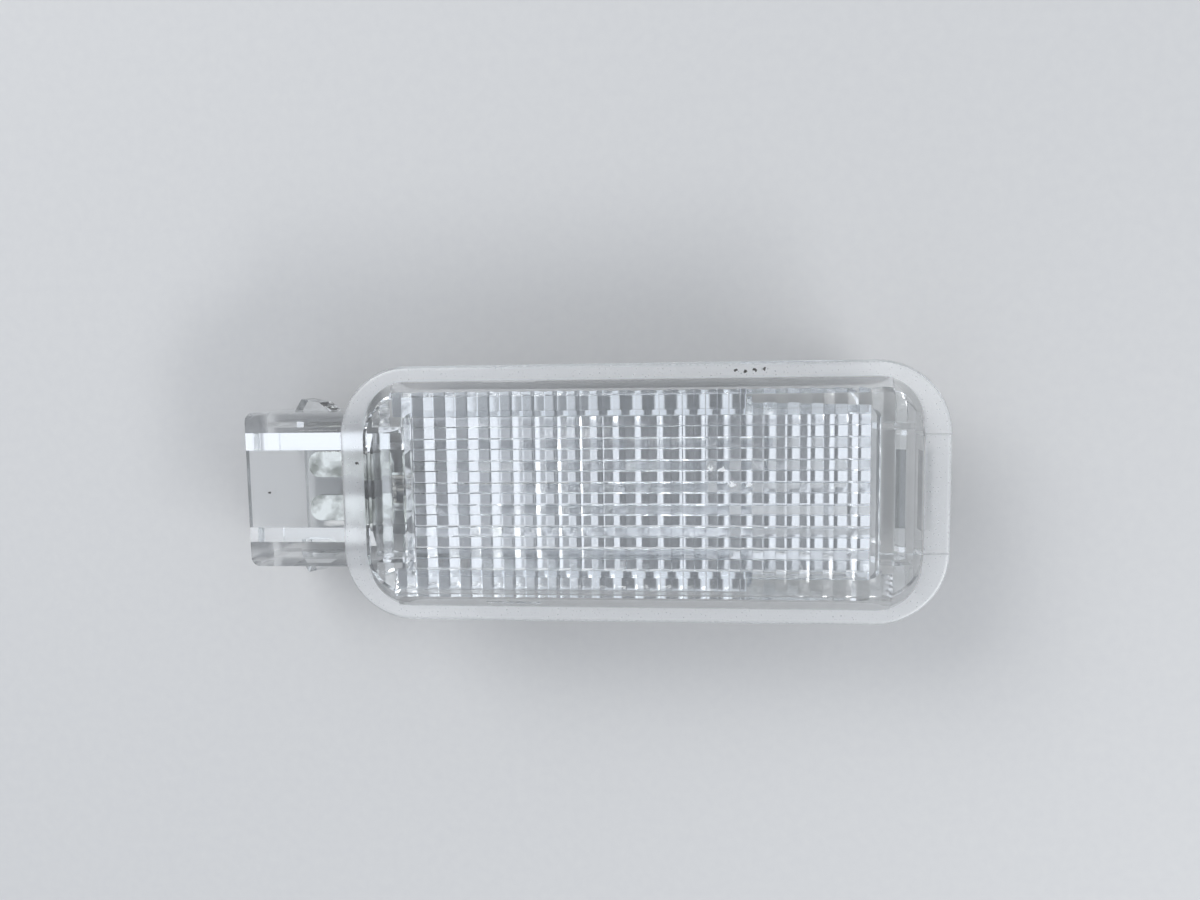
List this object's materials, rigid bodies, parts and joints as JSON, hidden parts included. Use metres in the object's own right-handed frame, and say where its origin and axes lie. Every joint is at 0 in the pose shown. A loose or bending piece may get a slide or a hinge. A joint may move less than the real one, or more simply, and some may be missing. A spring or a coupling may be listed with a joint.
{
  "type": "door courtesy light",
  "caption": "Clear snap-in door lamp: long rounded bezel, raised window with crossed prisms, metal reflector and wedge bulb behind it, plug socket with flat blades at one end.",
  "frame": {"origin": "middle of the bezel's rear face, which lies on the door trim", "axes": "+X along the length away from the plug socket, +Z out of the lens"},
  "size_m": [0.0723, 0.026, 0.0147],
  "materials": {
    "clear_plastic": "clear polished moulding with a frosted bezel rim",
    "prism_plastic": "clear polished",
    "reflector_sheet": "bright pressed sheet",
    "bulb_glass": "clear",
    "filament": "dull drawn wire",
    "lead_wire": "drawn wire",
    "tinned_brass": "tin plated, satin"
  },
  "bodies": {
    "root": {"lens_housing": "clear_plastic", "prism_plate": "prism_plastic", "reflector": "reflector_sheet", "bulb_glass": "bulb_glass", "bulb_filament": "filament", "bulb_wire_upper": "lead_wire", "bulb_wire_lower": "lead_wire", "terminal_upper": "tinned_brass", "terminal_lower": "tinned_brass"}
  },
  "joints": []
}
